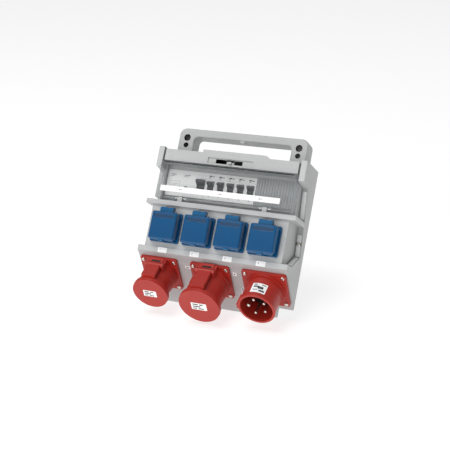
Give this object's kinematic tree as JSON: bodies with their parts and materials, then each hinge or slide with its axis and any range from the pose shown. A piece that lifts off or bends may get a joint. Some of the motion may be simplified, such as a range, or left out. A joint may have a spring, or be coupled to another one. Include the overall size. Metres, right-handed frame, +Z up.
{
  "type": "portable power distribution box",
  "caption": "Portable power distribution box with carrying handle, windowed breaker row, lidded household sockets, round industrial sockets and a pinned supply inlet, leaning on a rear stand.",
  "frame": {"origin": "middle of the footprint at the floor, under the leaning box and its open stand", "axes": "+X to the right seen from the front, +Y to the back, +Z up; the front panel faces -Y and leans back"},
  "size_m": [0.26, 0.2494, 0.2781],
  "materials": {
    "housing": "satin",
    "clear": "gloss",
    "blue": "gloss",
    "red": "satin",
    "device_white": "satin",
    "dark": "satin",
    "label": "matt",
    "steel": "satin",
    "nickel": "satin",
    "brass": "satin",
    "seal": "matt"
  },
  "bodies": {
    "box": {"blanking_strip": "housing", "breaker_body_1": "device_white", "breaker_body_2": "device_white", "breaker_body_3": "device_white", "breaker_body_4": "device_white", "breaker_body_5": "device_white", "carry_handle": "housing", "cover_screws": "nickel", "cover_seal": "seal", "device_rail": "steel", "flange_screws": "nickel", "front_cover": "housing", "inlet_housing": "red", "inlet_pin_carrier": "dark", "inlet_pins": "nickel", "leakage_switch_body": "device_white", "left_socket_housing": "red", "left_socket_insert": "dark", "middle_socket_housing": "red", "middle_socket_insert": "dark", "number_plates": "label", "rear_shell": "housing", "red_lid_pins": "steel", "socket_base_1": "blue", "socket_base_2": "blue", "socket_base_3": "blue", "socket_base_4": "blue", "socket_earth_clips": "nickel", "socket_hinge_pins": "steel", "socket_insert_1": "blue", "socket_insert_2": "blue", "socket_insert_3": "blue", "socket_insert_4": "blue", "socket_lid_springs": "steel", "terminal_bars": "brass", "terminal_carrier": "device_white", "window_hinge_pins": "steel"},
    "window_lid": {"window_lid": "clear", "window_label": "label"},
    "window_catch": {"window_catch": "housing"},
    "leakage_lever": {"leakage_switch_lever": "dark"},
    "test_button": {"test_button": "dark"},
    "left_lid": {"left_socket_lid": "red", "left_lid_plate": "label"},
    "middle_lid": {"middle_socket_lid": "red", "middle_lid_plate": "label"},
    "stand": {"stand_bail": "steel"},
    "breaker_lever_1": {"breaker_lever_1": "dark"},
    "breaker_lever_2": {"breaker_lever_2": "dark"},
    "breaker_lever_3": {"breaker_lever_3": "dark"},
    "breaker_lever_4": {"breaker_lever_4": "dark"},
    "breaker_lever_5": {"breaker_lever_5": "dark"},
    "household_lid_1": {"socket_lid_1": "blue"},
    "household_lid_2": {"socket_lid_2": "blue"},
    "household_lid_3": {"socket_lid_3": "blue"},
    "household_lid_4": {"socket_lid_4": "blue"}
  },
  "joints": [
    {"name": "window_hinge", "type": "hinge", "parent": "box", "child": "window_lid", "pos_m": [0, -0.02034, 0.18404], "axis": [1, 0, 0], "range_deg": [0, 90]},
    {"name": "catch_slide", "type": "slide", "parent": "box", "child": "window_catch", "axis": [0, 0.5, 0.866], "range_m": [0, 0.003], "stiffness_N_per_m": 60, "springref_m": -0.004},
    {"name": "test_button_press", "type": "slide", "parent": "box", "child": "test_button", "axis": [0, 0.866, -0.5], "range_m": [0, 0.0015], "stiffness_N_per_m": 100, "springref_m": -0.002},
    {"name": "leakage_lever_tilt", "type": "hinge", "parent": "box", "child": "leakage_lever", "pos_m": [-0.0531, 0.02027, 0.19639], "axis": [1, 0, 0], "range_deg": [0, 50]},
    {"name": "breaker_lever_1_tilt", "type": "hinge", "parent": "box", "child": "breaker_lever_1", "pos_m": [-0.0354, 0.02027, 0.19639], "axis": [1, 0, 0], "range_deg": [0, 50]},
    {"name": "breaker_lever_2_tilt", "type": "hinge", "parent": "box", "child": "breaker_lever_2", "pos_m": [-0.0177, 0.02027, 0.19639], "axis": [1, 0, 0], "range_deg": [0, 50]},
    {"name": "breaker_lever_3_tilt", "type": "hinge", "parent": "box", "child": "breaker_lever_3", "pos_m": [0, 0.02027, 0.19639], "axis": [1, 0, 0], "range_deg": [0, 50]},
    {"name": "breaker_lever_4_tilt", "type": "hinge", "parent": "box", "child": "breaker_lever_4", "pos_m": [0.0177, 0.02027, 0.19639], "axis": [1, 0, 0], "range_deg": [0, 50]},
    {"name": "breaker_lever_5_tilt", "type": "hinge", "parent": "box", "child": "breaker_lever_5", "pos_m": [0.0354, 0.02027, 0.19639], "axis": [1, 0, 0], "range_deg": [0, 50]},
    {"name": "household_lid_1_hinge", "type": "hinge", "parent": "box", "child": "household_lid_1", "pos_m": [-0.08565, -0.0431, 0.17063], "axis": [-1, 0, 0], "range_deg": [0, 90], "stiffness_Nm_per_rad": 0.012, "springref_deg": -34.38},
    {"name": "household_lid_2_hinge", "type": "hinge", "parent": "box", "child": "household_lid_2", "pos_m": [-0.02855, -0.0431, 0.17063], "axis": [-1, 0, 0], "range_deg": [0, 90], "stiffness_Nm_per_rad": 0.012, "springref_deg": -34.38},
    {"name": "household_lid_3_hinge", "type": "hinge", "parent": "box", "child": "household_lid_3", "pos_m": [0.02855, -0.0431, 0.17063], "axis": [-1, 0, 0], "range_deg": [0, 90], "stiffness_Nm_per_rad": 0.012, "springref_deg": -34.38},
    {"name": "household_lid_4_hinge", "type": "hinge", "parent": "box", "child": "household_lid_4", "pos_m": [0.08565, -0.0431, 0.17063], "axis": [-1, 0, 0], "range_deg": [0, 90], "stiffness_Nm_per_rad": 0.012, "springref_deg": -34.38},
    {"name": "left_lid_hinge", "type": "hinge", "parent": "box", "child": "left_lid", "pos_m": [-0.0938, -0.08339, 0.08697], "axis": [-1, 0, 0], "range_deg": [0, 95], "stiffness_Nm_per_rad": 0.04, "springref_deg": -34.38},
    {"name": "middle_lid_hinge", "type": "hinge", "parent": "box", "child": "middle_lid", "pos_m": [-0.0034, -0.08445, 0.0894], "axis": [-1, 0, 0], "range_deg": [0, 95], "stiffness_Nm_per_rad": 0.06, "springref_deg": -34.38},
    {"name": "stand_hinge", "type": "hinge", "parent": "box", "child": "stand", "pos_m": [0, 0.08102, 0.15901], "axis": [-1, 0, 0], "range_deg": [0, 44.05]}
  ]
}
